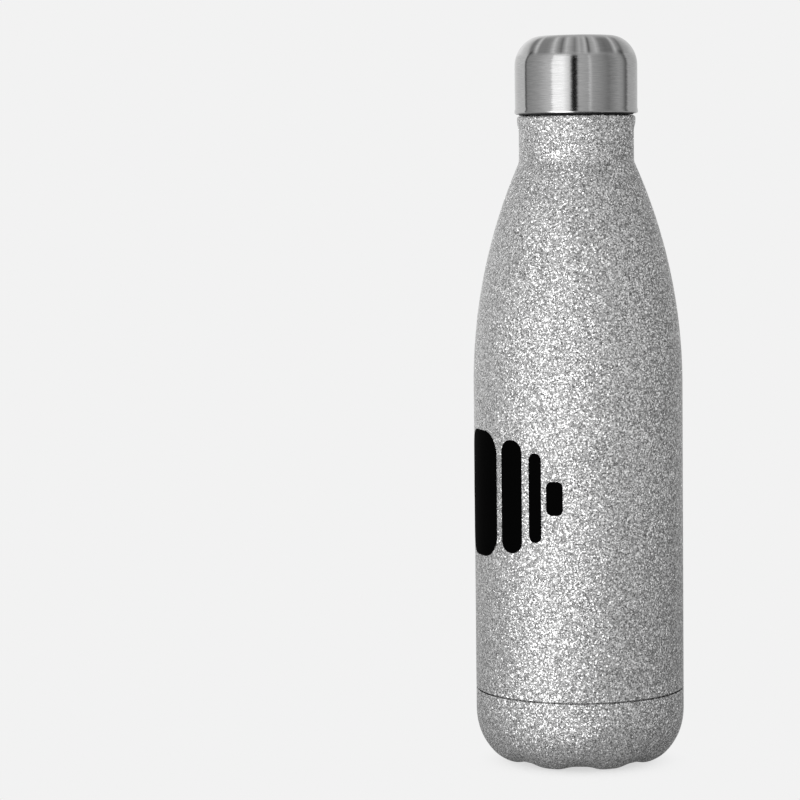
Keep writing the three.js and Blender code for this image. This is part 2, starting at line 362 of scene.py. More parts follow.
class Graph:
    """A node tree, with short ways to add and link nodes."""

    def __init__(
        self, owner: bpy.types.Material | bpy.types.World, coordinates: str = "Object"
    ) -> None:
        """Opens the node tree of a material or of the surroundings.

        Args:
            owner: What the tree belongs to.
            coordinates: Output of Texture Coordinate that patterns follow.
        """
        owner.use_nodes = True
        self.tree = owner.node_tree
        self.shader = self.tree.nodes.get("Principled BSDF")
        self.coords = self.add("ShaderNodeTexCoord").outputs[coordinates]

    def add(self, kind: str, inputs: dict | None = None, **settings: object) -> bpy.types.Node:
        """Adds a node.

        Args:
            kind: Blender's name for the type of node.
            inputs: Values or sockets for its inputs, by name or number.
            **settings: Properties of the node.

        Returns:
            The node.
        """
        node = self.tree.nodes.new(kind)
        for key, value in settings.items():
            setattr(node, key, value)
        self.feed(node, inputs or {})
        return node

    def feed(self, node: bpy.types.Node, inputs: dict) -> None:
        """Sets a node's inputs.

        Args:
            node: The node.
            inputs: Values, or sockets to link, by name or number.
        """
        for key, value in inputs.items():
            if isinstance(value, Socket):
                self.tree.links.new(value, node.inputs[key])
            else:
                node.inputs[key].default_value = value

    def math(
        self, operation: str, first: object, second: object = 0.0, third: object = 0.0
    ) -> Socket:
        """Combines numbers, and returns the result's socket."""
        inputs = {0: first, 1: second, 2: third}
        return self.add("ShaderNodeMath", inputs, operation=operation).outputs[0]

    def vector(self, operation: str, first: object, second: object = (0, 0, 0)) -> Socket:
        """Combines vectors, and returns the result's socket."""
        inputs = {0: first, 1: second}
        return self.add("ShaderNodeVectorMath", inputs, operation=operation).outputs[0]

    def scaled(self, vector: object, scale: object) -> Socket:
        """Multiplies a vector by a number."""
        inputs = {0: vector, "Scale": scale}
        return self.add("ShaderNodeVectorMath", inputs, operation="SCALE").outputs[0]

    def length(self, vector: object) -> Socket:
        """Length of a vector."""
        node = self.add("ShaderNodeVectorMath", {0: vector}, operation="LENGTH")
        return node.outputs["Value"]

    def parts(self, vector: object) -> bpy.types.bpy_prop_collection:
        """The X, Y and Z outputs of a vector."""
        return self.add("ShaderNodeSeparateXYZ", {0: vector}).outputs

    def noise(self, scale: float, detail: float = 2.0, vector: object = None) -> Socket:
        """Adds a cloudy pattern, and returns its brightness socket."""
        inputs = {"Vector": vector or self.coords, "Scale": scale, "Detail": detail}
        return self.add("ShaderNodeTexNoise", inputs).outputs["Fac"]

    def cells(self, size: float) -> Socket:
        """Adds closely packed cells of a size in metres, and returns their random colours."""
        inputs = {"Vector": self.coords, "Scale": 1 / size}
        return self.add("ShaderNodeTexVoronoi", inputs).outputs["Color"]

    def between(self, value: object, low: float, high: float) -> Socket:
        """Maps a brightness from 0..1 to a range."""
        inputs = {"Value": value, "To Min": low, "To Max": high}
        return self.add("ShaderNodeMapRange", inputs).outputs["Result"]

    def rise(self, value: object, start: float, end: float) -> Socket:
        """Rises smoothly from 0 to 1 as a value goes from start to end."""
        inputs = {"Value": value, "From Min": start, "From Max": end}
        return self.add("ShaderNodeMapRange", inputs,
                        interpolation_type="SMOOTHSTEP").outputs["Result"]

    def mixed(self, share: object, first: object, second: object) -> Socket:
        """Mixes two colours, from the first at a share of 0 to the second at 1."""
        node = self.add("ShaderNodeMix", {0: share, 6: first, 7: second}, data_type="RGBA")
        return node.outputs[2]

    def ramp(self, value: object, stops: Sequence[tuple[float, float]]) -> Socket:
        """Maps a brightness to greys.

        Args:
            value: Socket with a brightness from 0 to 1.
            stops: Pairs of place and linear grey, in order.

        Returns:
            The colour socket.
        """
        node = self.add("ShaderNodeValToRGB", {"Fac": value})
        elements = node.color_ramp.elements
        while len(elements) < len(stops):
            elements.new(1.0)
        for element, (where, grey) in zip(elements, stops):
            element.position = where
            element.color = (grey, grey, grey, 1)
        return node.outputs["Color"]

    def bump(self, height: object, strength: float, distance: float) -> None:
        """Gives the shader a bump, with distance in metres."""
        inputs = {"Height": height, "Strength": strength, "Distance": distance}
        self.feed(self.shader, {"Normal": self.add("ShaderNodeBump", inputs).outputs["Normal"]})


def grey(value: float) -> Four:
    """A neutral colour of the given linear brightness."""
    return (value, value, value, 1.0)


def shade(color: Color, factor: float) -> Four:
    """A colour made darker or lighter by a factor."""
    return tuple(min(1.0, channel * factor) for channel in color) + (1.0,)


@dataclass(frozen=True)
class GlitterCoat:
    """Silver flakes of two sizes, each tilted its own way, in dark paint under a satin top coat.

    Sizes are in metres. Tones run from the darkest to the brightest.
    """

    name: str = "glitter_coat"
    flake: float = 0.00042
    small_flake: float = 0.00035
    small_share: float = 0.4
    flake_share: float = 0.36
    tilt: float = 0.45
    blend: float = 0.02
    paint_tones: Point = (0.01, 0.085)
    flake_tones: Point = (0.5, 0.84)
    roughness: float = 0.3
    roughness_spread: Point = (-0.12, 0.17)
    coat_weight: float = 0.5
    coat_roughness: float = 0.5
    coat_ior: float = 1.5

    def build(self) -> bpy.types.Material:
        """Makes the material.

        Returns:
            The material.
        """
        material = bpy.data.materials.new(self.name)
        g = Graph(material)
        large = g.cells(self.flake)
        picked = g.math("LESS_THAN", g.parts(large)["Z"], self.small_share)
        flakes = g.mixed(picked, large, g.cells(self.small_flake))
        chance = g.add("ShaderNodeTexWhiteNoise", {"Vector": flakes}, noise_dimensions="3D")
        draw = chance.outputs["Value"]
        paint_end = 1 - self.flake_share - self.blend
        flake_start = 1 - self.flake_share + self.blend
        stops = [(0.0, self.paint_tones[0]), (paint_end, self.paint_tones[1]),
                 (flake_start, self.flake_tones[0]), (1.0, self.flake_tones[1])]
        silver = g.ramp(draw, stops)
        metal = g.rise(draw, paint_end, flake_start)
        smoothest, roughest = (self.roughness + spread for spread in self.roughness_spread)
        rough = g.between(g.parts(chance.outputs["Color"])["X"], smoothest, roughest)
        lean = g.scaled(g.vector("SUBTRACT", flakes, (0.5, 0.5, 0.5)), 2 * self.tilt)
        normal = g.add("ShaderNodeNewGeometry").outputs["Normal"]
        g.feed(g.shader, {
            "Base Color": silver,
            "Metallic": metal,
            "Roughness": rough,
            "Normal": g.vector("NORMALIZE", g.vector("ADD", normal, lean)),
            "Coat Weight": self.coat_weight,
            "Coat Roughness": self.coat_roughness,
            "Coat IOR": self.coat_ior,
        })
        return material


@dataclass(frozen=True)
class TurnedSteel:
    """Stainless steel with fine lines that run around the bottle's axis, and streaks of sheen
    painted over the crown where given. Heights are in metres.
    """

    name: str
    brightness: float
    roughness: float
    anisotropy: float
    line_height: float = 0.00002
    lines_a_metre: float = 9000
    along_line: float = 320
    waver: float = 0.05
    tones: tuple[Point, ...] = ((0.15, 0.72), (0.32, 1), (0.5, 1.25))
    roughness_spread: float = 0.04
    ridge_strength: float = 0.25
    # Painted reflection: streaks of sheen painted into the crown's colour, as degrees around and
    # times plain steel, between the heights below.
    painted_sheen: tuple[Point, ...] = ()
    painted_sheen_z: Four = (0.2455, 0.2472, 0.2512, 0.2528)

    def build(self) -> bpy.types.Material:
        """Makes the material.

        Returns:
            The material.
        """
        material = bpy.data.materials.new(self.name)
        g = Graph(material)
        flat = g.vector("MULTIPLY", g.coords, (1, 1, 0))
        profile = g.math("SUBTRACT", g.parts(g.coords)["Z"], g.length(flat))
        lines = g.math("MULTIPLY", profile, self.lines_a_metre)
        across = g.add("ShaderNodeCombineXYZ", {"Z": lines}).outputs[0]
        brush = g.noise(1.0, 3.0, g.vector("ADD", g.scaled(flat, self.along_line), across))
        tone = g.math("MULTIPLY_ADD", brush, 0.5, g.math("MULTIPLY", g.noise(60.0), 0.15))
        steel = g.ramp(tone, [(where, self.brightness * factor) for where, factor in self.tones])
        # Paints the crown's streaks of reflection into the colour.
        if self.painted_sheen:
            steel = g.vector("MULTIPLY", steel, self.paint_crown_sheen(g))
        around = g.add("ShaderNodeTangent", direction_type="RADIAL", axis="Z").outputs[0]
        sideways = g.scaled(around, g.math("MULTIPLY", g.math("SUBTRACT", brush, 0.5), self.waver))
        bump = {"Height": brush, "Strength": self.ridge_strength, "Distance": self.line_height}
        ridges = g.add("ShaderNodeBump", bump)
        spread = self.roughness_spread
        g.feed(g.shader, {
            "Base Color": steel,
            "Metallic": 1.0,
            "Roughness": g.between(brush, self.roughness - spread, self.roughness + spread),
            "Anisotropic": self.anisotropy,
            "Anisotropic Rotation": 0.25,
            "Tangent": around,
            "Normal": g.vector("NORMALIZE", g.vector("ADD", ridges.outputs[0], sideways)),
        })
        return material

    def paint_crown_sheen(self, g: Graph) -> Socket:
        """Paints streaks of sheen, a painted reflection, into the colour over the crown, the same
        in front and behind.

        Args:
            g: Node tree of the material.

        Returns:
            How much brighter or darker than plain steel the painted sheen makes each place.
        """
        spot = g.parts(g.coords)
        angle = g.math("ARCTAN2", spot["X"], g.math("ABSOLUTE", spot["Y"]))
        stops = [(degrees / 180 + 0.5, factor) for degrees, factor in self.painted_sheen]
        sheen = g.ramp(g.math("MULTIPLY_ADD", angle, 1 / math.pi, 0.5), stops)
        low, full, fade, top = self.painted_sheen_z
        share = g.math("SUBTRACT", g.rise(spot["Z"], low, full), g.rise(spot["Z"], fade, top))
        return g.mixed(share, grey(1.0), sheen)


@dataclass(frozen=True)
class Moulded:
    """Moulded plastic, rubber or foam with a fine surface grain, its height in metres."""

    name: str
    color: Color
    roughness: float
    grain_a_metre: float
    grain_height: float
    specular: float = 0.5
    shades: Point = (0.82, 1.18)
    roughness_spread: float = 0.08

    def build(self) -> bpy.types.Material:
        """Makes the material.

        Returns:
            The material.
        """
        material = bpy.data.materials.new(self.name)
        g = Graph(material)
        grain = g.noise(self.grain_a_metre, 3.0)
        dark, bright = (shade(self.color, factor) for factor in self.shades)
        spread = self.roughness_spread
        g.feed(g.shader, {
            "Base Color": g.mixed(g.noise(90.0), dark, bright),
            "Roughness": g.between(grain, self.roughness - spread, self.roughness + spread),
            "Specular IOR Level": self.specular,
        })
        g.bump(grain, 0.5, self.grain_height)
        return material


@dataclass(frozen=True)
class Metal:
    """Plain metal with a slightly uneven colour and surface, creased to a height in metres."""

    name: str
    color: Color
    roughness: float
    crease_a_metre: float
    crease_height: float
    shades: Point = (0.75, 1.15)
    roughness_spread: Point = (-0.08, 0.12)

    def build(self) -> bpy.types.Material:
        """Makes the material.

        Returns:
            The material.
        """
        material = bpy.data.materials.new(self.name)
        g = Graph(material)
        crease = g.noise(self.crease_a_metre, 4.0)
        dark, bright = (shade(self.color, factor) for factor in self.shades)
        smoothest, roughest = (self.roughness + spread for spread in self.roughness_spread)
        g.feed(g.shader, {
            "Base Color": g.mixed(crease, dark, bright),
            "Metallic": 1.0,
            "Roughness": g.between(crease, smoothest, roughest),
        })
        g.bump(crease, 0.4, self.crease_height)
        return material


class Palette:
    """Every finish of the bottle, made once."""

    def __init__(self) -> None:
        """Makes the materials."""
        self.glitter = GlitterCoat().build()
        # The cover's crown carries streaks of reflection painted into its colour.
        self.brushed = TurnedSteel("brushed_steel_cap", 0.48, 0.13, 0.8, waver=0.065,
                                   painted_sheen=CROWN_PAINTED_SHEEN).build()
        self.steel = TurnedSteel("bare_steel", 0.6, 0.26, 0.5, 0.000012, 3200, 14).build()
        self.silicone = Moulded("black_silicone", (0.012, 0.012, 0.013), 0.55, 2600, 0.00003,
                                0.35).build()
        self.black_plastic = Moulded("black_plastic", (0.022, 0.022, 0.024), 0.42, 1900,
                                     0.00003).build()
        self.grey_plastic = Moulded("grey_plastic", (0.6, 0.6, 0.58), 0.5, 1500, 0.00003).build()
        self.foam = Moulded("foam", (0.85, 0.85, 0.82), 0.85, 900, 0.00025, 0.2).build()
        self.ink = Moulded("black_print", (0.001, 0.001, 0.001), 0.6, 2400, 0.00002, 0.004).build()
        self.glass = Moulded("solder_glass", (0.05, 0.09, 0.08), 0.12, 500, 0.00005).build()
        self.copper = Metal("copper", (0.78, 0.4, 0.24), 0.28, 220, 0.0002).build()
        self.getter = Metal("getter", (0.2, 0.2, 0.22), 0.6, 2200, 0.00008).build()


# Sub-assemblies


@dataclass
class OuterBody:
    """The glitter-coated outside: shell, petal base, welds and base disc. Millimetres."""

    palette: Palette
    sheet: float = 0.4
    body_top_z: float = 132
    shoulder_arc_r: float = 190.5
    neck_r: float = 20
    neck_start: float = 1.6
    lip_bead: float = 0.6
    lip_bead_h: float = 4.6
    flange_r: float = 18.7
    edge_round: float = 0.08
    petals: int = 8
    petal_rise: float = 1.15
    petal_flat: float = 0.95
    groove: float = 0.56
    groove_depth: float = 2.0
    foot_r: float = 24
    foot_width: float = 4.5
    corner_h: float = 18
    recess_r: float = 14.8
    recess_z: float = 2.9
    dimple_z: float = 4.3
    vent_r: float = 1
    steps: int = 192

    def __post_init__(self) -> None:
        """Reads the overall sizes from the frame."""
        low, high = span("outer_shell")
        self.body_r = high.x
        self.lip_z = high.z
        seam_z = (low.z + span("base_cup")[1].z) / 2
        self.seam_top = seam_z + self.groove / 2
        self.seam_bottom = seam_z - self.groove / 2

    def build(self) -> list[Piece]:
        """Builds and dresses every piece of the outside.

        Returns:
            The coated pieces.
        """
        glitter = self.palette.glitter
        place(self.mouth_weld(), Body.BOTTLE, Slot.STEEL, self.palette.steel)
        place(self.disc(), Body.BOTTLE, Slot.STEEL, self.palette.steel, "base_disc")
        return [
            place(self.shell(), Body.BOTTLE, Slot.GLITTER, glitter, "outer_shell"),
            place(self.base(), Body.BOTTLE, Slot.GLITTER, glitter, "base_cup"),
            place(self.seam_weld(), Body.BOTTLE, Slot.GLITTER, glitter),
        ]

    def shell(self) -> Piece:
        """The drawn shell from the seam up to the mouth.

        Returns:
            The piece.
        """
        outside = Shoulder(self.body_r, self.body_top_z, self.shoulder_arc_r)
        kink_z = outside.height(self.neck_r)
        lower = rounded([(self.body_r - self.sheet, self.seam_top), (self.body_r, self.seam_top),
                         (self.body_r, self.body_top_z)], self.edge_round)
        arc_line = outside.line(kink_z - self.neck_start, 48)
        bead_r = self.neck_r + self.lip_bead
        neck = rounded([arc_line[-1], (self.neck_r, kink_z),
                        (self.neck_r, self.lip_z - self.lip_bead_h),
                        (bead_r - 0.05, self.lip_z - 2.6), (bead_r, self.lip_z),
                        (self.flange_r, self.lip_z)], 1.3, 6)
        inside = outside.inset(self.sheet)
        inner_neck = self.neck_r - self.sheet
        inner = [(self.body_r - self.sheet, self.seam_top + 0.01),
                 *inside.line(inside.height(inner_neck), 32),
                 (inner_neck, self.lip_z - self.sheet), (self.flange_r, self.lip_z - self.sheet)]
        return turned("glitter_shell", wall(lower + arc_line + neck[1:], inner), self.steps)

    def petal_lift(self, radius: float, angle: float) -> float:
        """How far a point of the base is raised by the valleys between the petal feet.

        Args:
            radius: Distance from the axis.
            angle: Direction around the axis, in radians.

        Returns:
            The rise in millimetres.
        """
        valley = smoothstep(math.cos(self.petals * angle), -self.petal_flat, 1)
        outwards = smoothstep(self.body_r - radius, 0.2, self.body_r - 29)
        inwards = smoothstep(radius, self.recess_r + 0.4, self.foot_r - self.foot_width)
        return self.petal_rise * valley * outwards * inwards

    def base(self) -> Piece:
        """The pressed base cup with its ring of petal feet and the recess for the disc.

        Returns:
            The piece.
        """
        corner = (self.foot_r, self.corner_h)
        corner_r = self.body_r - self.foot_r
        foot_in = self.foot_r - self.foot_width
        under = rounded([(self.vent_r, self.dimple_z), (4.2, self.dimple_z), (5.4, self.recess_z),
                         (self.recess_r, self.recess_z), (self.recess_r + 0.3, 1.7),
                         (foot_in, 0), (self.foot_r, 0)], 0.6)
        side = arc(corner, (corner_r, self.corner_h), -88, 0, 30)
        rim = rounded([side[-1], (self.body_r, self.seam_bottom),
                       (self.body_r - self.sheet, self.seam_bottom)], self.edge_round)
        inner_side = arc(corner, (corner_r - self.sheet, self.corner_h - self.sheet), -88, 0, 24)
        dimple_top, recess_top = self.dimple_z + self.sheet, self.recess_z + self.sheet
        above = rounded([(self.vent_r, dimple_top), (4.4, dimple_top), (5.6, recess_top),
                         (self.recess_r + 0.3, recess_top), (self.recess_r + 0.7, 2),
                         (foot_in + 0.2, self.sheet), (self.foot_r, self.sheet)], 0.5)
        bm = bmesh.new()
        spin_outline(bm, wall(under + side + rim[1:], above + inner_side), self.steps)
        for vert in bm.verts:
            radius = math.hypot(vert.co.x, vert.co.y) / MM
            vert.co.z += self.petal_lift(radius, math.atan2(vert.co.y, vert.co.x)) * MM
        return finish_mesh("petal_base", bm)

    def seam_weld(self) -> Piece:
        """The weld deep in the seam groove.

        Returns:
            The piece.
        """
        middle = (self.seam_top + self.seam_bottom) / 2
        root = self.body_r - self.groove_depth
        back = root - 0.3
        half = 3 * self.groove
        bead = arc((root - 0.12, middle), (0.12, half), -90, 90, 8)
        outline = [*bead, (back, middle + half), (back, middle - half)]
        return turned("seam_weld", outline, self.steps)

    def mouth_weld(self) -> Piece:
        """The weld that joins the two shells around the mouth.

        Returns:
            The piece.
        """
        middle = (FLASK_FLANGE_R + self.flange_r) / 2
        half = 0.24
        low = self.lip_z - 0.5
        bead = arc((middle, self.lip_z - 0.12), (half, 0.12), 0, 180, 8)
        return turned("mouth_weld", [*bead, (middle - half, low), (middle + half, low)])

    def disc(self) -> Piece:
        """The thin disc glued into the recess of the base.

        Returns:
            The piece.
        """
        low, high = span("base_disc")
        edge = high.x
        corners = [(0, low.z), (edge - 0.9, low.z), (edge - 0.7, low.z + 0.15),
                   (edge, low.z + 0.25), (edge, high.z), (0, high.z)]
        return turned("base_cover_disc", rounded(corners, 0.12))


@dataclass
class DrinkFlask:
    """The inner flask with its threaded mouth and its welded bottom. Millimetres."""

    palette: Palette
    sheet: float = 0.4
    arc_r: float = 194.8
    shoulder_z: float = 128
    seat_r: float = 15.7
    seat_top_z: float = 211
    mouth_r: float = 16.5
    lip_round: float = 0.8
    bottom_corner_r: float = 6
    thread: Thread = Thread(16.3, 214.2, 0.9, 0.7)

    def __post_init__(self) -> None:
        """Reads the overall sizes from the frame."""
        low, high = span("inner_flask")
        self.flask_r = high.x
        self.bottom_z = low.z
        self.lip_z = high.z

    def build(self) -> None:
        """Builds and dresses the flask and its bottom."""
        place(self.flask(), Body.BOTTLE, Slot.STEEL, self.palette.steel, "inner_flask")
        place(self.bottom(), Body.BOTTLE, Slot.STEEL, self.palette.steel, "inner_base")

    def line(self, offset: float) -> Outline:
        """One face of the flask's wall, from the bottom weld to the thread.

        Args:
            offset: Distance inwards from the outer face.

        Returns:
            Points from the lowest to the highest.
        """
        curve = Shoulder(self.flask_r, self.shoulder_z, self.arc_r).inset(offset)
        seat = self.seat_r - offset
        mouth = self.mouth_r + self.sheet - offset
        corners = [(seat, curve.height(seat)), (seat, self.seat_top_z),
                   (mouth, self.seat_top_z + 1.3), (mouth, self.seat_top_z + 3)]
        return [(self.flask_r - offset, self.bottom_z), *curve.line(curve.height(seat), 32),
                *rounded(corners, 0.6)[1:]]

    def flask(self) -> Piece:
        """The drawn flask, with the ridges of its thread.

        Returns:
            The piece.
        """
        outer_mouth = self.mouth_r + self.sheet
        outer = [*self.line(0), (outer_mouth, self.lip_z - self.sheet),
                 (FLASK_FLANGE_R, self.lip_z - self.sheet), (FLASK_FLANGE_R, self.lip_z)]
        lip = self.lip_round
        inner = [*self.line(self.sheet),
                 *arc((self.mouth_r + lip, self.lip_z - lip), (lip, lip), 180, 90, 8)]
        bm = bmesh.new()
        spin_outline(bm, wall(outer, inner), 128)
        self.thread.cut(bm)
        return finish_mesh("drink_flask", bm)

    def bottom(self) -> Piece:
        """The domed bottom of the flask.

        Returns:
            The piece.
        """
        low, high = span("inner_base")
        outer_r = self.bottom_corner_r
        inner_r = outer_r - self.sheet
        corner = (high.x - outer_r, high.z)
        dome = [(0, low.z + 1.5), (8, low.z + 1.28), (16, low.z + 0.6)]
        under = [*dome, *arc(corner, (outer_r, outer_r), -90, 0, 12)]
        above = [*((r, z + self.sheet) for r, z in dome),
                 *arc(corner, (inner_r, inner_r), -90, 0, 10)]
        return turned("flask_bottom", wall(under, above))


@dataclass
class ScrewLid:
    """The lid: steel cover, liner, threaded stopper, its cap and seals. Millimetres."""

    palette: Palette
    sheet: float = 0.4
    hem: float = 0.15
    crown_z: float = 242.7
    crown: Point = (9.5, 10.4)
    rib: tuple[float, float, float] = (3.4, 1.2, 14)
    rib_r: float = 17.6
    rib_z: float = 237
    ribs: int = 8
    bore_r: float = 12.5
    root_r: float = 14.8
    seal_bore_r: float = 13.5
    gasket_bore_r: float = 16.5
    thread: Thread = Thread(14.95, 212.2, 1.3, -1.05)

    def __post_init__(self) -> None:
        """Reads the overall sizes from the frame."""
        low, high = span("lid_cover")
        self.cover_r = high.x - self.hem
        self.cover_low = low.z
        self.cover_top = high.z

    def build(self) -> None:
        """Builds and dresses every piece of the lid."""
        look = self.palette
        place(self.cover(), Body.LID, Slot.BRUSHED, look.brushed, "lid_cover")
        place(self.liner(), Body.LID, Slot.GREY_PLASTIC, look.grey_plastic, "lid_liner")
        place(self.stopper(), Body.LID, Slot.BLACK_PLASTIC, look.black_plastic, "stopper")
        place(self.end_cap(), Body.LID, Slot.BLACK_PLASTIC, look.black_plastic, "stopper_end_cap")
        place(self.plug_seal(), Body.LID, Slot.SILICONE, look.silicone, "plug_seal")
        place(self.gasket(), Body.GASKET, Slot.SILICONE, look.silicone, "mouth_gasket")

    def cover(self) -> Piece:
        """The drawn cup with a rolled lower edge and a round crown.

        Returns:
            The piece.
        """
        r, low = self.cover_r, self.cover_low
        centre = (r - self.crown[0], self.crown_z)
        hem = rounded([(r - self.sheet, low), (r - 0.05, low), (r + self.hem, low + 0.4),
                       (r + self.hem, low + 0.95), (r - 0.05, low + 2), (r, low + 9),
                       (r, self.crown_z)], 0.2)
        top = self.cover_top
        crown = arc(centre, self.crown, 0, 80, 28)
        cap = rounded([crown[-1], (centre[0] - 1.5, top - 0.1), (0, top)], 1.2, 8)
        inner_size = (self.crown[0] - self.sheet, self.crown[1] - self.sheet)
        inner = [(r - self.sheet, low + 0.01), *arc(centre, inner_size, 0, 80, 20),
                 (centre[0] - 1.5, top - 0.1 - self.sheet), (0, top - self.sheet)]
        return turned("brushed_cover", wall(hem + crown[1:] + cap[1:], inner), 160)

    def liner(self) -> Piece:
        """The ribbed plastic liner that holds the cover on the stopper.

        Returns:
            The piece.
        """
        r = span("lid_liner")[1].x
        low = span("lid_liner")[0].z
        shell = rounded([(19, low), (r, low), (r, 241.5), (19.2, 247), (16.4, 250.2),
                         (12, 251.9), (0, 252.1)], 0.5)
        socket = rounded([(0, 250.5), (14.7, 250), (14.7, low + 0.1), (16.2, low + 0.1),
                          (16.2, 248.6), (17.6, 246.6), (19, 241)], 0.3)
        bm = bmesh.new()
        spin_outline(bm, shell + socket, 96)
        size = Matrix.Diagonal((*(side * MM for side in self.rib), 1))
        out = Matrix.Translation((self.rib_r * MM, 0, self.rib_z * MM))
        for i in range(self.ribs):
            turn = Matrix.Rotation(FULL_TURN * i / self.ribs, 4, "Z")
            bmesh.ops.create_cube(bm, size=1, matrix=turn @ out @ size)
        return finish_mesh("ribbed_liner", bm)

    def stopper(self) -> Piece:
        """The threaded tube with the flange that presses the gasket.

        Returns:
            The piece.
        """
        low, high = span("stopper")
        root, bore = self.root_r, self.bore_r
        outline = rounded([(bore, 208), (bore, low.z), (13.2, low.z), (13.2, 210.4), (14, 210.8),
                           (root, 212), (root, 223.6), (16.1, 224.4), (16.1, 227), (high.x, 227),
                           (high.x, 228.6), (14.4, 228.6), (14.4, high.z), (bore, high.z),
                           (bore, 230)], 0.3)
        bm = bmesh.new()
        spin_outline(bm, outline, 128)
        self.thread.cut(bm)
        return finish_mesh("threaded_stopper", bm)

    def end_cap(self) -> Piece:
        """The plug that closes the stopper's lower end.

        Returns:
            The piece.
        """
        low, high = span("stopper_end_cap")
        spigot = self.bore_r - 0.3
        corners = [(0, low.z + 0.5), (9.4, low.z + 0.5), (10, low.z), (13.3, low.z),
                   (high.x, low.z + 0.9), (high.x, 205.7), (spigot, 205.7), (spigot, high.z),
                   (0, high.z)]
        return turned("stopper_plug", rounded(corners, 0.4))

    def plug_seal(self) -> Piece:
        """The wiping ring with two soft lips.

        Returns:
            The piece.
        """
        low, high = span("plug_seal")
        bore, lip, root = self.seal_bore_r, high.x, high.x - 0.45
        corners = [(bore, 208), (bore, low.z), (root, low.z), (lip, low.z + 0.7),
                   (root, low.z + 1.4), (root, low.z + 2.1), (lip, low.z + 2.8),
                   (root, low.z + 3.5), (bore, high.z), (bore, 208.1)]
        return turned("two_lip_seal", rounded(corners, 0.25))

    def gasket(self) -> Piece:
        """The black ring pressed between the lid and the mouth.

        Returns:
            The piece.
        """
        low, high = span("mouth_gasket")
        bore = self.gasket_bore_r
        middle = (low.z + high.z) / 2
        corners = [(bore, middle), (bore, low.z), (high.x, low.z), (high.x, high.z),
                   (bore, high.z), (bore, middle + 0.02)]
        return turned("black_gasket", rounded(corners, 0.25))


@dataclass
class BarbellPrint:
    """A plain barbell printed around the body: a bar and round-cornered plates. Millimetres."""

    palette: Palette
    middle_z: float = 95.5
    right_edge_deg: float = -8.5
    ink: float = 0.06
    lift: float = 0.02
    bar_h: float = 5.6
    bar_overlap: float = 0.4
    column: float = 0.8
    length: float = 149.0
    # Start, width, height and corner radius of each plate of one half, from its end inwards.
    plates: tuple[Four, ...] = (
        (0, 5.8, 11.6, 2.0), (7.6, 4.6, 30.6, 2.2),
        (15.0, 9.0, 38.9, 4.2), (26.6, 22.6, 43.8, 8.0),
    )

    def build(self) -> None:
        """Builds and dresses the print."""
        place(self.wrapped(), Body.BOTTLE, Slot.PRINT, self.palette.ink)

    @staticmethod
    def block(bm: Mesh, centre: Point, size: Point, corner: float) -> None:
        """Adds one flat round-cornered block to the print.

        Args:
            bm: Mesh that receives the block, flat in X and Z.
            centre: Centre of the block.
            size: Its width and height.
            corner: Radius of its corners.
        """
        flat = bmesh.new()
        bmesh.ops.create_grid(flat, x_segments=1, y_segments=1, size=0.5)
        bmesh.ops.scale(flat, vec=(size[0], size[1], 1), verts=flat.verts)
        if corner:
            bmesh.ops.bevel(flat, geom=flat.verts[:], offset=corner, offset_type="OFFSET",
                            segments=8, profile=0.5, affect="VERTICES", material=-1)
        bmesh.ops.translate(flat, vec=(centre[0], centre[1], 0), verts=flat.verts)
        absorb(bm, flat)

    def wrapped(self) -> Piece:
        """The print, sliced into narrow columns, bent around the body and given its thickness.

        Returns:
            The piece.
        """
        body_r = span("outer_shell")[1].x
        right = math.radians(self.right_edge_deg) * body_r
        bm = bmesh.new()
        for side in (0, 1):
            for start, width, height, corner in self.plates:
                distance = start + width / 2
                x = right - distance if side == 0 else right - self.length + distance
                self.block(bm, (x, self.middle_z), (width, height), corner)
        bar_from = sum(self.plates[-1][:2]) - self.bar_overlap
        bar_size = (self.length - 2 * bar_from, self.bar_h)
        self.block(bm, (right - self.length / 2, self.middle_z), bar_size, 0)
        low = min(v.co.x for v in bm.verts)
        high = max(v.co.x for v in bm.verts)
        for i in range(1, int((high - low) / self.column)):
            bmesh.ops.bisect_plane(bm, geom=bm.verts[:] + bm.edges[:] + bm.faces[:], dist=1e-4,
                                   plane_co=(low + i * self.column, 0, 0), plane_no=(1, 0, 0))
        bmesh.ops.triangulate(bm, faces=bm.faces[:])
        extruded = bmesh.ops.extrude_face_region(bm, geom=bm.faces[:], use_keep_orig=True)
        raised = {v for v in extruded["geom"] if isinstance(v, bmesh.types.BMVert)}
        for vert in bm.verts:
            angle = vert.co.x / body_r
            radius = body_r + self.lift + (self.ink if vert in raised else 0)
            z = vert.co.y
            vert.co = (radius * math.sin(angle) * MM, -radius * math.cos(angle) * MM, z * MM)
        return finish_mesh("barbell_print", bm)


def dress_hidden(nodes: dict, palette: Palette) -> None:
    """Gives the CAD nodes inside the vacuum and the lid their finishes.

    Args:
        nodes: CAD nodes by name.
        palette: The finishes.
    """
    finishes = {
        "vacuum_seal_bead": palette.glass,
        "copper_foil": palette.copper,
        "getter_pill": palette.getter,
        "getter_clip": palette.steel,
        "foam_insert": palette.foam,
    }
    for name, material in finishes.items():
        nodes[name].data.materials.clear()
        nodes[name].data.materials.append(material)
        log.info("%s dressed", name)


# Studio


